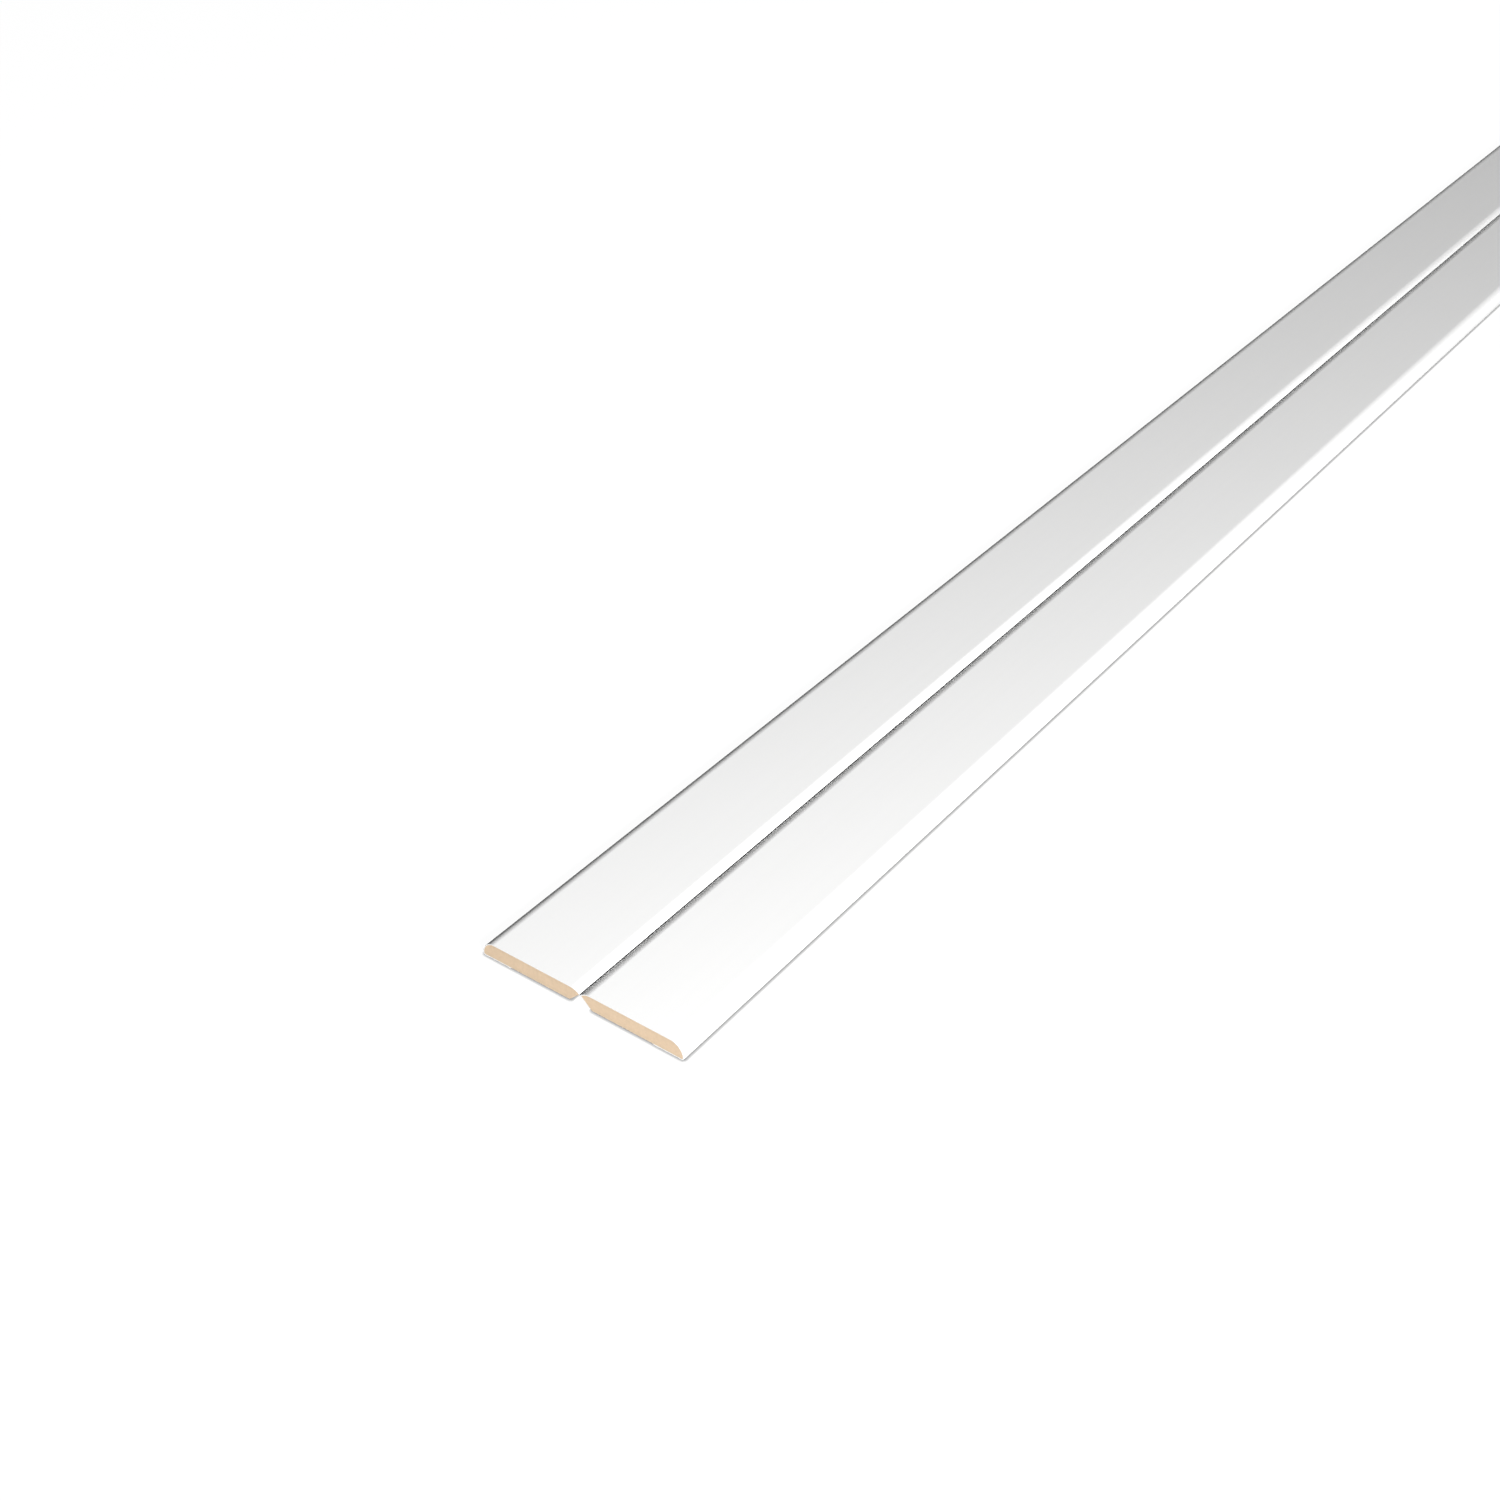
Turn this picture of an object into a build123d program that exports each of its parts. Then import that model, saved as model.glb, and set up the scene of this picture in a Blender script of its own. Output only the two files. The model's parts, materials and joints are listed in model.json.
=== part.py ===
# Folding corner trim for wall panels: two milled MDF strips joined along their
# inner edges by the white foil that wraps both faces. Flat, it lies on its back.
# It folds back round an outer corner until the two mitres close, and forward
# into an inner corner until the two rounded shoulders close.
#
# X runs along the trim, Y across it and Z up from the back to the face.
# The origin is under the fold, half way along, on the plane the trim lies on.

import os
from math import cos, radians, sin, tan

from build123d import *

# Driving dimensions, in millimetres and degrees
length = 2400.0  # stock length, floor to ceiling
leg_width = 30.0  # from the fold to the outer edge of one leg, over the foil
strip_thickness = 4.0  # board gauge of the MDF
edge_radius = 3.5  # milled round on the strip's outer edge, on the face
shoulder_radius = 3.5  # milled round on the strip's inner edge, beside the fold
arris_radius = 0.3  # small round where the strip's outer edge meets its back
half_fold = 45.0  # each leg's share of a full fold, to the back and to the front
foil_thickness = 0.25  # wrapping foil, which is also the hinge
foil_return = 8.6  # foil turned in under the back, from the outer edge
hinge_gap = 0.3  # bare foil between the two legs, along the fold

# A round takes no more of its wall than this share
round_limit = 0.9
edge_round = min(edge_radius, round_limit * strip_thickness)
arris_round = min(arris_radius, round_limit * (strip_thickness - edge_round))

# The strip lies between the foil on its face and the foil turned under its back
strip_back = foil_thickness
strip_face = strip_back + strip_thickness
strip_side = leg_width - foil_thickness

# The foil's shoulder ends at the fold, sloping by the leg's share of the fold
lean_across = sin(radians(half_fold))
lean_up = cos(radians(half_fold))
fold_shoulder = shoulder_radius + foil_thickness
fold_y = hinge_gap / 2
fold_height = strip_face + foil_thickness - fold_shoulder * (1 - lean_up)


def draw_leg_outline(cover):
    """Draws one leg's section on +Y, covered to a thickness outside the strip."""
    face = strip_face + cover
    side = strip_side + cover
    back = strip_back - cover

    # Every round keeps the strip's centre, so the cover has one thickness
    shoulder_y = fold_y + fold_shoulder * lean_across
    shoulder_z = strip_face - shoulder_radius
    shoulder = shoulder_radius + cover
    edge_y = strip_side - edge_round
    edge_z = strip_face - edge_round
    arris_y = strip_side - arris_round
    arris_z = strip_back + arris_round

    # The mitre runs down from the fold, square to the end of the shoulder
    tip = (shoulder_y - shoulder * lean_across, shoulder_z + shoulder * lean_up)
    mitre_foot = (fold_y + (fold_height - back) * tan(radians(half_fold)), back)

    CenterArc((shoulder_y, shoulder_z), shoulder, 90 + half_fold, -half_fold)
    Line((shoulder_y, face), (edge_y, face))
    CenterArc((edge_y, edge_z), edge_round + cover, 90, -90)
    Line((side, edge_z), (side, arris_z))
    CenterArc((arris_y, arris_z), arris_round + cover, 0, -90)
    Line((arris_y, back), mitre_foot)
    Line(mitre_foot, tip)


near_end = Plane.YZ.offset(-length / 2)

# Left leg's MDF strip, on +Y
with BuildPart() as left_mdf_strip:
    with BuildSketch(near_end) as strip_section:
        with BuildLine():
            draw_leg_outline(0)
        make_face()
    extrude(amount=length)

# Left leg's foil: a skin over the face, the outer edge and the rim of the back
with BuildPart() as left_face_foil:
    with BuildSketch(near_end):
        with BuildLine():
            draw_leg_outline(foil_thickness)
        make_face()
        add(strip_section.sketch_local, mode=Mode.SUBTRACT)
        Rectangle(
            leg_width - foil_return,
            foil_thickness,
            align=(Align.MIN, Align.MIN),
            mode=Mode.SUBTRACT,
        )
    extrude(amount=length)

# Right leg, the mirror image across the fold
with BuildPart() as right_mdf_strip:
    mirror(left_mdf_strip.part, about=Plane.XZ)

with BuildPart() as right_face_foil:
    mirror(left_face_foil.part, about=Plane.XZ)

pieces = {
    "left_mdf_strip": left_mdf_strip,
    "left_face_foil": left_face_foil,
    "right_mdf_strip": right_mdf_strip,
    "right_face_foil": right_face_foil,
}

os.makedirs("parts", exist_ok=True)
for name, piece in pieces.items():
    piece.part.label = name
    export_step(piece.part, f"parts/{name}.step")

print(f"fold line {fold_height:.4f} mm above the back")
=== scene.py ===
# %% [markdown]
# # A folding corner trim for wall panels
# The trim is two milled strips of MDF under one white foil. The foil is glued over both
# faces and is the only thing that holds them together, so it is also the hinge. The CAD
# frame gives every place and most sizes, so the lesson starts by loading it. Its box
# is kept.

# %% Load the frame
import json
from math import cos, degrees, pi, radians, sin, tan

import bmesh
import bpy
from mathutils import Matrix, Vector


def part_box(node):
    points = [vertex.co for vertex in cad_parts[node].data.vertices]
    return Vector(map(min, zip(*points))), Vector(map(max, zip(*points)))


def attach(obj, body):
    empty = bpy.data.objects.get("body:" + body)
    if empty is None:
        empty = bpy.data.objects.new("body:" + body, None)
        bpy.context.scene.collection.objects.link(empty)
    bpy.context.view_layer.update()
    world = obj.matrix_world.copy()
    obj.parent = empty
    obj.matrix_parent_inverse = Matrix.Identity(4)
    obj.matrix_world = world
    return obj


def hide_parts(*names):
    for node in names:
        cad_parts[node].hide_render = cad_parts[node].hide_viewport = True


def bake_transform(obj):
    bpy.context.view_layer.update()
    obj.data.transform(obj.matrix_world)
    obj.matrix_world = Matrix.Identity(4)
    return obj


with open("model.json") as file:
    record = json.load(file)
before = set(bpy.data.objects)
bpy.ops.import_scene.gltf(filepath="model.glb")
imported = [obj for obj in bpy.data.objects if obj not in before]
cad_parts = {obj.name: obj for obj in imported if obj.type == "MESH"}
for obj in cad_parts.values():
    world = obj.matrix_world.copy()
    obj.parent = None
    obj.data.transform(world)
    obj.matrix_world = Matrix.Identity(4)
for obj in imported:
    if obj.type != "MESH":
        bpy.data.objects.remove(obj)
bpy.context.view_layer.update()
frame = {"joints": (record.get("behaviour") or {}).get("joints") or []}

# %% [markdown]
# ## Reading the sizes
# Most sizes can be read off the frame: the boxes of the two solids of the left leg give
# the length, the widths and the thickness of the foil, and the joint gives the fold line.
# The right leg mirrors the left one across the plane y = 0, so one leg is enough. Only the
# angle of the fold, two of the rounds and the width of the foil under the back have to be
# written out again.

# %% Measure the frame
MM = 0.001

strip_low, strip_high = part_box("left_mdf_strip")
foil_low, foil_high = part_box("left_face_foil")
half_length = foil_high.x
foil_thickness = strip_low.z - foil_low.z
hinge_gap = 2 * foil_low.y
fold_line = Vector(frame["joints"][0]["pos_m"])

half_fold = radians(45)
edge_radius = 3.5 * MM
arris_radius = 0.3 * MM
foil_return = 8.6 * MM
shoulder_radius = (foil_high.z - fold_line.z) / (1 - cos(half_fold)) - foil_thickness
print(f"foil {foil_thickness / MM:.2f} mm, shoulder round {shoulder_radius / MM:.2f} mm")

# %% [markdown]
# ## Rounding a folded sheet
# A foil that wraps a moulding is easiest to think of as a sheet of card: it has a few
# sharp creases at first, and each crease is then rolled to its radius. Drawing every point
# of the arcs would work too, but a bevel makes an arc from one crease, and a new radius is
# then one number. The same helpers make the solid strips under the foil.

# %% Helpers for long sections
TOUCH = 0.01 * MM
SHARP_EDGE = radians(30)


def run_along_trim(corners, closed):
    """Draws a section's corners, as (y, z), at the near end and extrudes them to the far end."""
    bm = bmesh.new()
    points = [bm.verts.new((-half_length, y, z)) for y, z in corners]
    if closed:
        made = bmesh.ops.extrude_face_region(bm, geom=[bm.faces.new(points)])
    else:
        creases = [bm.edges.new(pair) for pair in zip(points, points[1:])]
        made = bmesh.ops.extrude_edge_only(bm, edges=creases)
    far_points = [item for item in made["geom"] if isinstance(item, bmesh.types.BMVert)]
    bmesh.ops.translate(bm, vec=(2 * half_length, 0, 0), verts=far_points)
    return bm


def roll_crease(bm, corner, radius, turn, segments):
    """Rounds the crease that runs along the trim through one corner of the section."""
    creases = [
        edge for edge in bm.edges
        if all((Vector(vert.co.yz) - Vector(corner)).length < TOUCH for vert in edge.verts)
    ]
    bmesh.ops.bevel(
        bm,
        geom=creases,
        offset=radius * tan(turn / 2),
        offset_type="OFFSET",
        affect="EDGES",
        segments=segments,
        profile=0.5,
        material=-1,
    )


def cut_into_lengths(bm, count):
    """Cuts the long faces across, so that none of them is a needle."""
    for cut in range(1, count):
        where = (2 * cut / count - 1) * half_length
        bmesh.ops.bisect_plane(
            bm,
            geom=bm.verts[:] + bm.edges[:] + bm.faces[:],
            plane_co=(where, 0, 0),
            plane_no=(1, 0, 0),
        )


def is_sawn(face):
    """True for a face at an end of the trim, which points along it."""
    return abs(face.normal.x) > 0.5


def finish_piece(name, bm, materials):
    """Turns a bmesh into an object at the origin, smooth but for its real edges."""
    for face in bm.faces:
        face.smooth = True
    mesh = bpy.data.meshes.new(name)
    bm.to_mesh(mesh)
    bm.free()
    mesh.set_sharp_from_angle(angle=SHARP_EDGE)
    for material in materials:
        mesh.materials.append(material)
    piece = bpy.data.objects.new(name, mesh)
    bpy.context.scene.collection.objects.link(piece)
    flatten = piece.modifiers.new("keep flats flat", "WEIGHTED_NORMAL")
    flatten.keep_sharp = True
    print(f"{name}: {len(mesh.polygons)} faces")
    return piece


# %% [markdown]
# ## Shader maths in Python
# Materials are sums and products of noise. Linking Math nodes by hand hides the sum, so a
# small class stands for a node's output and lets Python write it. One method makes any
# other node, from its type, its settings and what goes into its sockets.

# %% Helpers for materials
class Signal:
    """A node's output, which sums and products turn into Math nodes."""

    def __init__(self, finish, socket):
        self.finish = finish
        self.socket = socket

    def math(self, operation, first, second):
        return self.finish.node("ShaderNodeMath", {"operation": operation}, {0: first, 1: second})

    def __add__(self, other):
        return self.math("ADD", self, other)

    def __sub__(self, other):
        return self.math("SUBTRACT", self, other)

    def __rsub__(self, other):
        return self.math("SUBTRACT", other, self)

    def __mul__(self, other):
        return self.math("MULTIPLY", self, other)

    __radd__ = __add__
    __rmul__ = __mul__


class Finish:
    """The node tree of one material, or of the world."""

    def __init__(self, owner):
        owner.use_nodes = True
        self.tree = owner.node_tree
        self.tree.nodes.clear()

    def node(self, kind, settings=None, values=None, out=0):
        """Adds a node, sets it, fills or links its sockets, and gives one of its outputs."""
        made = self.tree.nodes.new(kind)
        for name, setting in (settings or {}).items():
            setattr(made, name, setting)
        for name, value in (values or {}).items():
            if isinstance(value, Signal):
                self.tree.links.new(value.socket, made.inputs[name])
            else:
                made.inputs[name].default_value = value
        return Signal(self, made.outputs[out]) if made.outputs else None

    def mix(self, factor, first, second):
        """Mixes two colours."""
        colours = {"Factor": factor, 6: first, 7: second}
        return self.node("ShaderNodeMix", {"data_type": "RGBA"}, colours, out=2)

    def noise(self, per_metre, detail=2.0, roughness=0.5):
        """Noise on Object coordinates, with so many features in a metre along x, y and z."""
        place = self.node("ShaderNodeTexCoord", out="Object")
        stretched = self.node("ShaderNodeMapping", values={"Vector": place, "Scale": per_metre})
        values = {"Vector": stretched, "Scale": 1.0, "Detail": detail, "Roughness": roughness}
        return self.node("ShaderNodeTexNoise", values=values, out="Fac")


# %% [markdown]
# ## White foil
# The foil is a smooth satin plastic film. Close up it isn't perfectly even: rollers leave
# faint streaks along the trim, and the film has a very fine orange peel. Both are in the
# roughness and in the bump, and the streaks are also, barely, in the colour. Along the fold
# the crease gets a near-black hairline of painted shade, standing in for the shadow in the
# fold. The same function makes both, from their colours.

# %% Foil materials
def make_foil_finish(name, dark, light):
    material = bpy.data.materials.new(name)
    finish = Finish(material)
    roller_streaks = finish.noise((4, 700, 700), detail=3)
    orange_peel = finish.noise((700, 1100, 1100), detail=1)
    cloudiness = finish.noise((25, 40, 40))
    tone = 0.6 * roller_streaks + 0.4 * cloudiness
    relief = orange_peel + 0.5 * roller_streaks
    bump = finish.node(
        "ShaderNodeBump",
        values={"Strength": 0.5, "Distance": 0.004 * MM, "Height": relief},
    )
    shader = finish.node(
        "ShaderNodeBsdfPrincipled",
        values={
            "Base Color": finish.mix(tone, dark, light),
            "Roughness": 0.46 + 0.08 * roller_streaks + 0.06 * orange_peel,
            "IOR": 1.46,
            "Specular IOR Level": 0.08,
            "Normal": bump,
        },
    )
    finish.node("ShaderNodeOutputMaterial", values={"Surface": shader})
    return material


white_foil = make_foil_finish(
    "satin_white_foil",
    dark=(0.885, 0.885, 0.88, 1),
    light=(0.915, 0.915, 0.912, 1),
)
# Painted shade: a near-black foil colour for the crease along the fold, standing in for its
# shadow.
crease_shade_foil = make_foil_finish(
    "crease_shade_foil",
    dark=(0.07, 0.07, 0.07, 1),
    light=(0.1, 0.1, 0.1, 1),
)
print("materials", white_foil.name, crease_shade_foil.name)

# %% [markdown]
# ## MDF
# MDF is wood fibre pressed with resin: no grain, only a felt of fine fibres with darker
# flecks. Hot plates press it, so the board is denser and darker towards its two faces, which
# the sawn ends and the milled mitres show. The back is sanded along the trim. One function
# makes the felt, and takes the colours of a face and the marks that its tool leaves.

# %% MDF materials
board_middle = (strip_low.z + strip_high.z) / 2
half_board = (strip_high.z - strip_low.z) / 2


def make_mdf(name, dark, light, tool_marks_per_metre, tool_depth):
    material = bpy.data.materials.new(name)
    finish = Finish(material)
    felt = finish.noise((1500, 1500, 1500), detail=4, roughness=0.65)
    clouds = finish.noise((120, 160, 160), detail=2)
    flecks = finish.noise((600, 900, 900), detail=1)
    tool_marks = finish.noise(tool_marks_per_metre, detail=2)
    place = finish.node("ShaderNodeTexCoord", out="Object")
    height = finish.node("ShaderNodeSeparateXYZ", values={"Vector": place}, out="Z")
    from_core = (height - board_middle) * (1 / half_board)
    pressed = from_core * from_core
    tone = 0.45 * felt + 0.2 * clouds + 0.2 * flecks + 0.15 * tool_marks - 0.1 * pressed
    contrast = finish.node(
        "ShaderNodeMapRange",
        values={"Value": tone, "From Min": 0.32, "From Max": 0.6},
    )
    relief = 0.5 * felt + 0.5 * tool_marks
    bump = finish.node(
        "ShaderNodeBump",
        values={"Strength": 0.6, "Distance": tool_depth, "Height": relief},
    )
    shader = finish.node(
        "ShaderNodeBsdfPrincipled",
        values={
            "Base Color": finish.mix(contrast, dark, light),
            "Roughness": 0.75 + 0.2 * felt,
            "Specular IOR Level": 0.25,
            "Normal": bump,
        },
    )
    finish.node("ShaderNodeOutputMaterial", values={"Surface": shader})
    return material


sanded_mdf = make_mdf(
    "sanded_mdf",
    dark=(0.57, 0.44, 0.295, 1),
    light=(0.67, 0.52, 0.35, 1),
    tool_marks_per_metre=(30, 1800, 1800),
    tool_depth=0.03 * MM,
)
milled_mdf = make_mdf(
    "milled_mdf",
    dark=(0.52, 0.40, 0.265, 1),
    light=(0.62, 0.475, 0.32, 1),
    tool_marks_per_metre=(900, 60, 60),
    tool_depth=0.03 * MM,
)
sawn_mdf = make_mdf(
    "sawn_mdf",
    dark=(0.68, 0.52, 0.36, 1),
    light=(0.79, 0.605, 0.425, 1),
    tool_marks_per_metre=(60, 1200, 120),
    tool_depth=0.05 * MM,
)
print("materials", sanded_mdf.name, milled_mdf.name, sawn_mdf.name)

# %% [markdown]
# ## The wrapping foil
# The real foil is one sheet over both legs, and it dips to the fold line between them, where
# a machine has pressed it into a sharp crease. In the frame it is cut there, so that each
# half follows its own leg. Here it is whole again: half a sheet is drawn from the crease to
# its free edge under the back, mirrored and rolled, and then given its thickness towards the
# board. A mirrored half is inside out, and a bevel between two faces that disagree goes
# wrong, so the normals are made to agree before anything is rolled. Each shoulder is rolled
# to a hair under its radius, so that its arc and the crease keep apart.

# %% Model the foil
EDGE_SEGMENTS = 24
SHOULDER_SEGMENTS = 14
ARRIS_SEGMENTS = 8
CREASE_SEGMENTS = 6
CREASE_RADIUS = 0.06 * MM
LENGTHS = 48
KEEP_APART = 0.98
SMOOTH, CREASE_SHADE = range(2)


def make_foil():
    face = foil_high.z
    side = foil_high.y
    back = foil_low.z
    shoulder = shoulder_radius + foil_thickness
    crease = (0, fold_line.z - hinge_gap / 2)
    shoulder_y = hinge_gap / 2 + shoulder * tan(half_fold / 2) * cos(half_fold)
    free_edge = (side - foil_return, back)
    half_sheet = [crease, (shoulder_y, face), (side, face), (side, back), free_edge]

    bm = run_along_trim(half_sheet, closed=False)
    whole = bm.verts[:] + bm.edges[:] + bm.faces[:]
    bmesh.ops.mirror(bm, geom=whole, axis="Y", merge_dist=TOUCH)
    bmesh.ops.remove_doubles(bm, verts=bm.verts, dist=TOUCH)
    bmesh.ops.recalc_face_normals(bm, faces=bm.faces)
    if max(bm.faces, key=lambda item: item.calc_area()).normal.z < 0:
        bmesh.ops.reverse_faces(bm, faces=bm.faces)
    for flip in (1, -1):
        shoulder_corner = (flip * shoulder_y, face)
        roll_crease(bm, (flip * side, face), edge_radius + foil_thickness, pi / 2, EDGE_SEGMENTS)
        roll_crease(bm, (flip * side, back), arris_radius + foil_thickness, pi / 2, ARRIS_SEGMENTS)
        roll_crease(bm, shoulder_corner, KEEP_APART * shoulder, half_fold, SHOULDER_SEGMENTS)
    roll_crease(bm, crease, CREASE_RADIUS, 2 * half_fold, CREASE_SEGMENTS)
    bmesh.ops.solidify(bm, geom=bm.faces[:], thickness=foil_thickness)
    cut_into_lengths(bm, LENGTHS)
    # The faces in the fold's crease get the painted-shade foil, a dark hairline standing in for
    # its shadow.
    for item in bm.faces:
        in_crease_shade = abs(item.calc_center_median().y) < hinge_gap / 2
        item.material_index = CREASE_SHADE if in_crease_shade and not is_sawn(item) else SMOOTH
    return finish_piece("wrapping_foil", bm, [white_foil, crease_shade_foil])


wrapping_foil = make_foil()

# %% [markdown]
# ## The MDF strips
# Each strip is one milled length: a flat back, a mitre up to a knife edge at the fold, and
# two rounds on its face. The foil hides the rounds, but the sawn ends show the whole
# section, so the strip is modelled finely enough to meet the foil without a gap. The right
# strip is the left one mirrored.

# %% Model the strips
SANDED, MILLED, SAWN = range(3)


def make_strip(name, flip):
    knife_y = hinge_gap / 2 + foil_thickness * sin(half_fold)
    knife_z = fold_line.z - foil_thickness * cos(half_fold)
    back = strip_low.z
    face = strip_high.z
    side = strip_high.y
    mitre_foot = (hinge_gap / 2 + (fold_line.z - back) * tan(half_fold), back)
    shoulder_corner = (knife_y + (face - knife_z) / tan(half_fold), face)
    section = [(knife_y, knife_z), shoulder_corner, (side, face), (side, back), mitre_foot]

    bm = run_along_trim(section, closed=True)
    roll_crease(bm, (side, face), edge_radius, pi / 2, EDGE_SEGMENTS)
    roll_crease(bm, (side, back), arris_radius, pi / 2, ARRIS_SEGMENTS)
    roll_crease(bm, shoulder_corner, KEEP_APART * shoulder_radius, half_fold, SHOULDER_SEGMENTS)
    bmesh.ops.scale(bm, vec=(1, flip, 1), verts=bm.verts)
    cut_into_lengths(bm, LENGTHS)
    bmesh.ops.recalc_face_normals(bm, faces=bm.faces)
    for item in bm.faces:
        item.material_index = SANDED
        if is_sawn(item):
            item.material_index = SAWN
        elif item.normal.z < -0.1 and item.normal.y * flip < -0.1:
            item.material_index = MILLED
    return finish_piece(name, bm, [sanded_mdf, milled_mdf, sawn_mdf])


left_strip = make_strip("left_strip", 1)
right_strip = make_strip("right_strip", -1)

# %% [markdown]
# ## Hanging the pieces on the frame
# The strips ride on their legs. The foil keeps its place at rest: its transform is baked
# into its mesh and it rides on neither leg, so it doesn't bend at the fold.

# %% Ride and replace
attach(left_strip, "left_leg")
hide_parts("left_mdf_strip")
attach(right_strip, "right_leg")
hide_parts("right_mdf_strip")

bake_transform(wrapping_foil)
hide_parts("left_face_foil", "right_face_foil")
print(f"the foil bends over {hinge_gap / MM:.2f} mm")

# %% [markdown]
# ## Floor and background
# A white trim on a white ground is only told apart by its shading, so the ground mustn't add
# light. For the light that bounces, the floor is a dim matt plane and the room is nearly
# dark. Only rays from the camera, and rays reflected by the trim, meet the floor and the
# room made up to a pale glow, which the lamps raise to white and the trim's shadow doesn't.
# A glow has no dark line where a thing stands on it, as a lit floor has, so an Ambient
# Occlusion node draws that line. The floor also lets part of what lies under it through,
# like a light table, so that a leg folded below it is seen.

# %% Make the floor and the room
FLOOR_SIZE = 30.0
FLOOR_DROP = 0.05 * MM
CONTACT_REACH = 0.9 * MM
SEEN_THROUGH = 0.4
PALE_GLOW = 0.97
AMBIENT = 0.03
WHITE = (1, 1, 1, 1)
BOUNCE_GREY = (0.08, 0.08, 0.08, 1)
SHADE_GREY = (0.15, 0.15, 0.15, 1)


def meets_background(finish):
    """1 for a ray from the camera, or one that the trim reflects or lets through."""
    kinds = ("Camera", "Glossy", "Transmission")
    camera_ray, glossy_ray, clear_ray = (
        finish.node("ShaderNodeLightPath", out=f"Is {kind} Ray") for kind in kinds
    )
    return camera_ray + glossy_ray + clear_ray


def make_pale_floor():
    material = bpy.data.materials.new("pale_floor")
    finish = Finish(material)
    bounced = finish.node("ShaderNodeBsdfDiffuse", values={"Color": BOUNCE_GREY})
    shaded = finish.node("ShaderNodeBsdfDiffuse", values={"Color": SHADE_GREY})
    glow = finish.node("ShaderNodeEmission", values={"Color": WHITE, "Strength": PALE_GLOW})
    pale = finish.node("ShaderNodeAddShader", values={0: shaded, 1: glow})
    open_sky = finish.node(
        "ShaderNodeAmbientOcclusion", {"samples": 8}, {"Distance": CONTACT_REACH}, out="AO"
    )
    clear_of_contact = open_sky * open_sky * open_sky
    seen = finish.node("ShaderNodeMixShader", values={0: clear_of_contact, 2: pale})
    opaque = finish.node(
        "ShaderNodeMixShader", values={0: meets_background(finish), 1: bounced, 2: seen}
    )
    clear = finish.node("ShaderNodeBsdfTransparent")
    through = SEEN_THROUGH * finish.node("ShaderNodeLightPath", out="Is Camera Ray")
    surface = finish.node("ShaderNodeMixShader", values={0: through, 1: opaque, 2: clear})
    finish.node("ShaderNodeOutputMaterial", values={"Surface": surface})
    return material


def make_floor():
    bm = bmesh.new()
    bmesh.ops.create_grid(bm, x_segments=1, y_segments=1, size=FLOOR_SIZE / 2)
    bmesh.ops.translate(bm, vec=(0, 0, -FLOOR_DROP), verts=bm.verts)
    mesh = bpy.data.meshes.new("floor")
    bm.to_mesh(mesh)
    bm.free()
    mesh.materials.append(make_pale_floor())
    floor = bpy.data.objects.new("floor", mesh)
    bpy.context.scene.collection.objects.link(floor)
    return floor


def make_room():
    room = bpy.data.worlds.new("room")
    finish = Finish(room)
    dim = finish.node("ShaderNodeBackground", values={"Color": WHITE, "Strength": AMBIENT})
    pale = finish.node("ShaderNodeBackground", values={"Color": WHITE, "Strength": PALE_GLOW})
    walls = finish.node(
        "ShaderNodeMixShader", values={0: meets_background(finish), 1: dim, 2: pale}
    )
    finish.node("ShaderNodeOutputWorld", values={"Surface": walls})
    return room


floor = make_floor()
bpy.context.scene.world = make_room()
print("stage", floor.name, bpy.context.scene.world.name)

# %% [markdown]
# ## Lamps
# The rounds show by the way they turn away from the light, so both main lamps stand low on one
# side, to the right of the trim, and at one angle to it. The key lamp stands beyond the near
# end, and the face falls from white to grey with the distance from it. A long strip of light
# takes over towards the far end. A weak lamp overhead keeps a leg that lies in the other's
# shadow from going black, and a low lamp beyond each end fills the sawn face.

# %% Place the lamps
SIDE_RISE = radians(30)
OVERHEAD_RISE = radians(78)
KEY_BEYOND_END = 0.45
FILL_BEYOND_END = 0.9
FILL_OFFSET = 0.08
near_end = Vector((-half_length, 0, 0))
far_middle = Vector((0.9, 0, 0))
middle = Vector((0, 0, 0))


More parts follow.
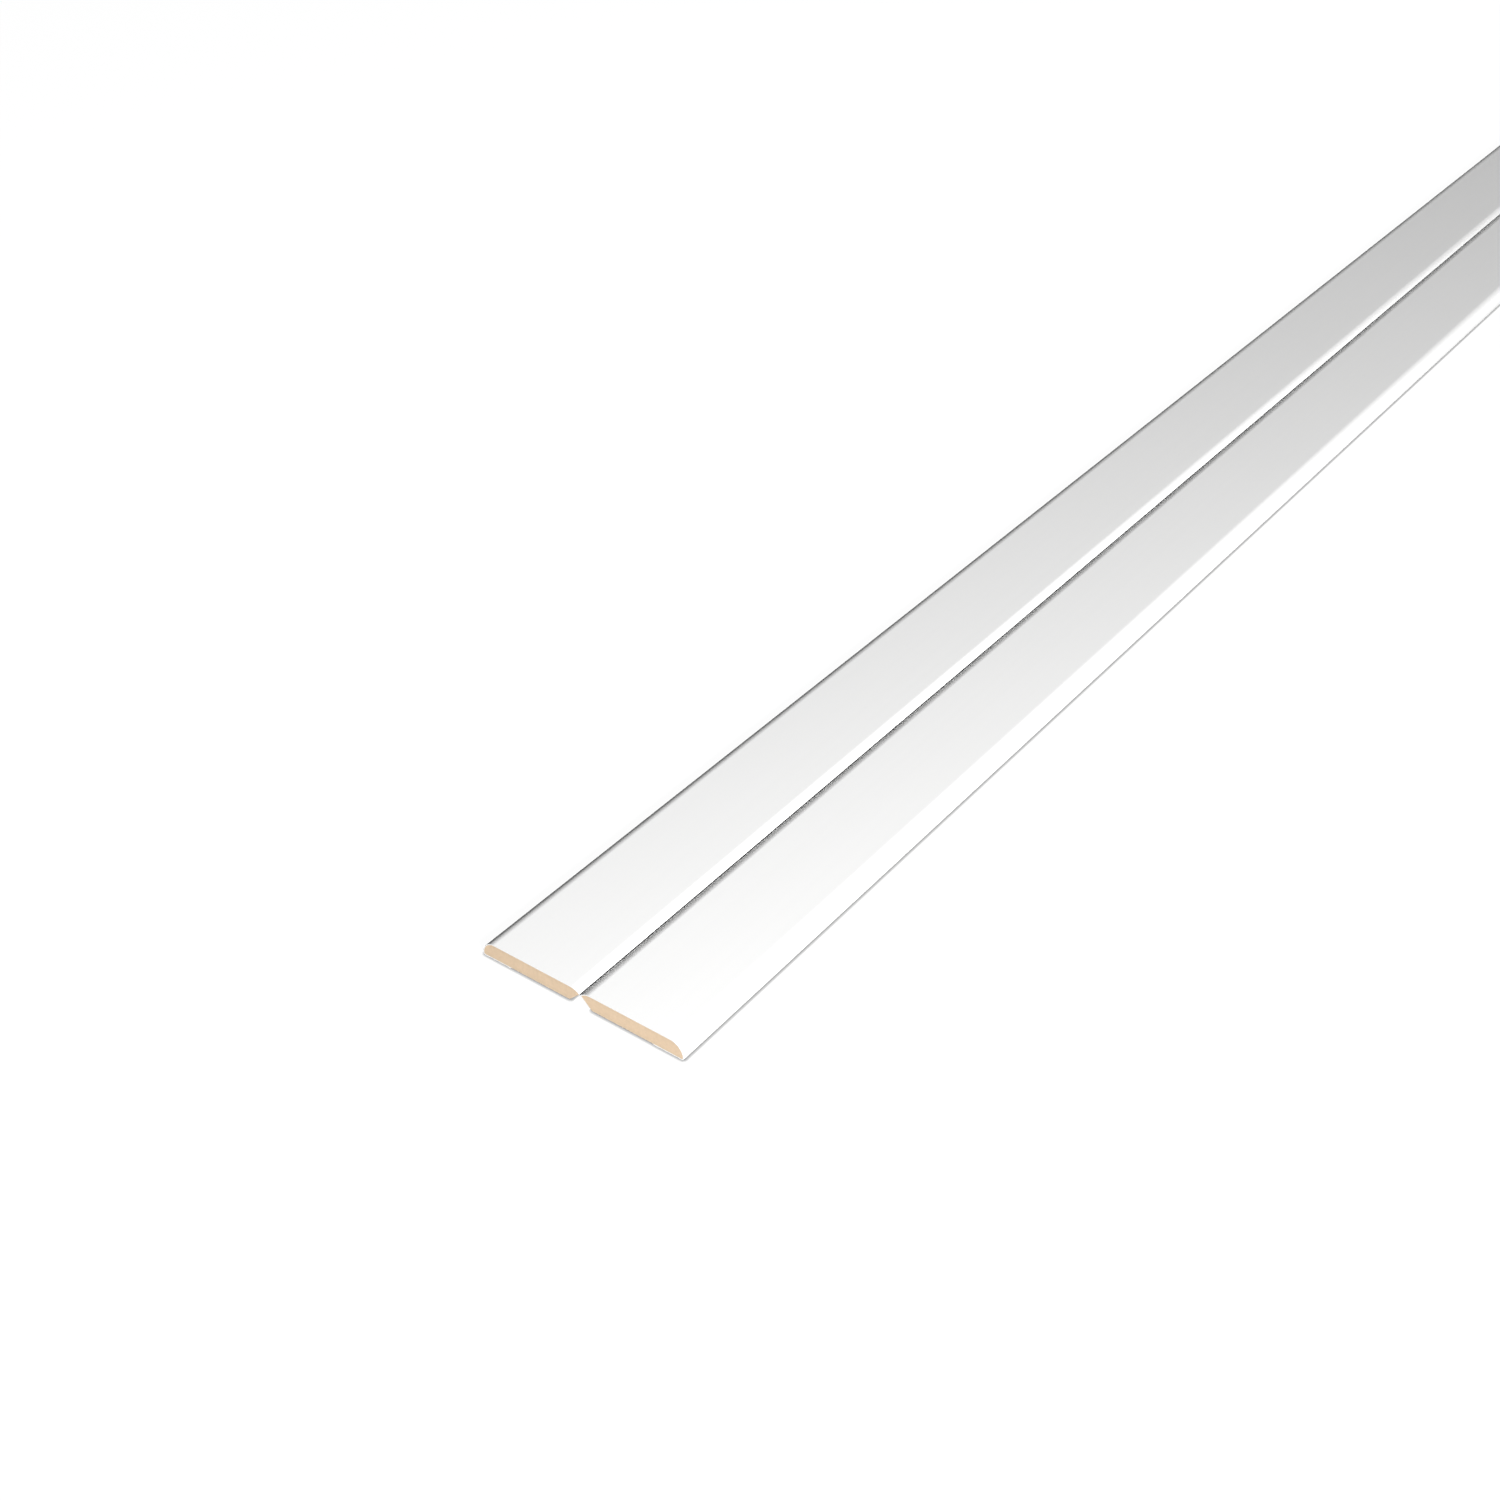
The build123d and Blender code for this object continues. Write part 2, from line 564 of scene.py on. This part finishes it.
def softbox(name, place, aim, width, height, power):
    """A rectangular lamp that faces a point, unseen by the camera."""
    data = bpy.data.lights.new(name, "AREA")
    data.shape = "RECTANGLE"
    data.size = width
    data.size_y = height
    data.energy = power
    lamp = bpy.data.objects.new(name, data)
    lamp.location = place
    lamp.rotation_mode = "QUATERNION"
    lamp.rotation_quaternion = (aim - place).to_track_quat("-Z", "Y")
    lamp.visible_camera = False
    bpy.context.scene.collection.objects.link(lamp)
    print(f"{name}: {power} W")


def right_of_trim(along, distance, rise):
    """A point to the right of the trim, at an angle above the floor."""
    return Vector((along, -distance * cos(rise), distance * sin(rise)))


key_place = right_of_trim(near_end.x - KEY_BEYOND_END, distance=1.0, rise=SIDE_RISE)
strip_place = right_of_trim(far_middle.x, distance=0.9, rise=SIDE_RISE)
overhead_place = right_of_trim(middle.x, distance=0.9, rise=OVERHEAD_RISE)
softbox("key", key_place, near_end, width=0.25, height=0.25, power=25.2)
softbox("strip", strip_place, far_middle, width=1.4, height=0.2, power=12.1)
softbox("overhead", overhead_place, middle, width=2.6, height=0.3, power=1.7)
for name, end, power in (("near_fill", -1, 1.0), ("far_fill", 1, 4.6)):
    sawn_end = Vector((end * half_length, 0, 0))
    fill_place = sawn_end + Vector((end * FILL_BEYOND_END, -FILL_OFFSET, FILL_OFFSET))
    softbox(name, fill_place, sawn_end, width=0.3, height=0.15, power=power)

# %% [markdown]
# ## Camera
# The camera looks down along the trim from its near end, with a normal lens. Its place is
# measured from the near end, and its heading and tilt give the view.

# %% Place the camera
CAMERA_FROM_NEAR_END = Vector((-0.2599, -0.24075, 0.32925))
HEADING = radians(36.51)
TILT_DOWN = radians(36.08)

camera_data = bpy.data.cameras.new("camera")
camera_data.lens = 50
camera_data.sensor_width = 36
camera_data.clip_start = 0.01
camera = bpy.data.objects.new("camera", camera_data)
camera.location = near_end + CAMERA_FROM_NEAR_END
camera.rotation_euler = (pi / 2 - TILT_DOWN, 0, HEADING - pi / 2)
bpy.context.scene.collection.objects.link(camera)
bpy.context.scene.camera = camera
bpy.context.scene.view_settings.view_transform = "Standard"
print(f"camera heading {degrees(HEADING):.1f}, tilt {degrees(TILT_DOWN):.1f} degrees")
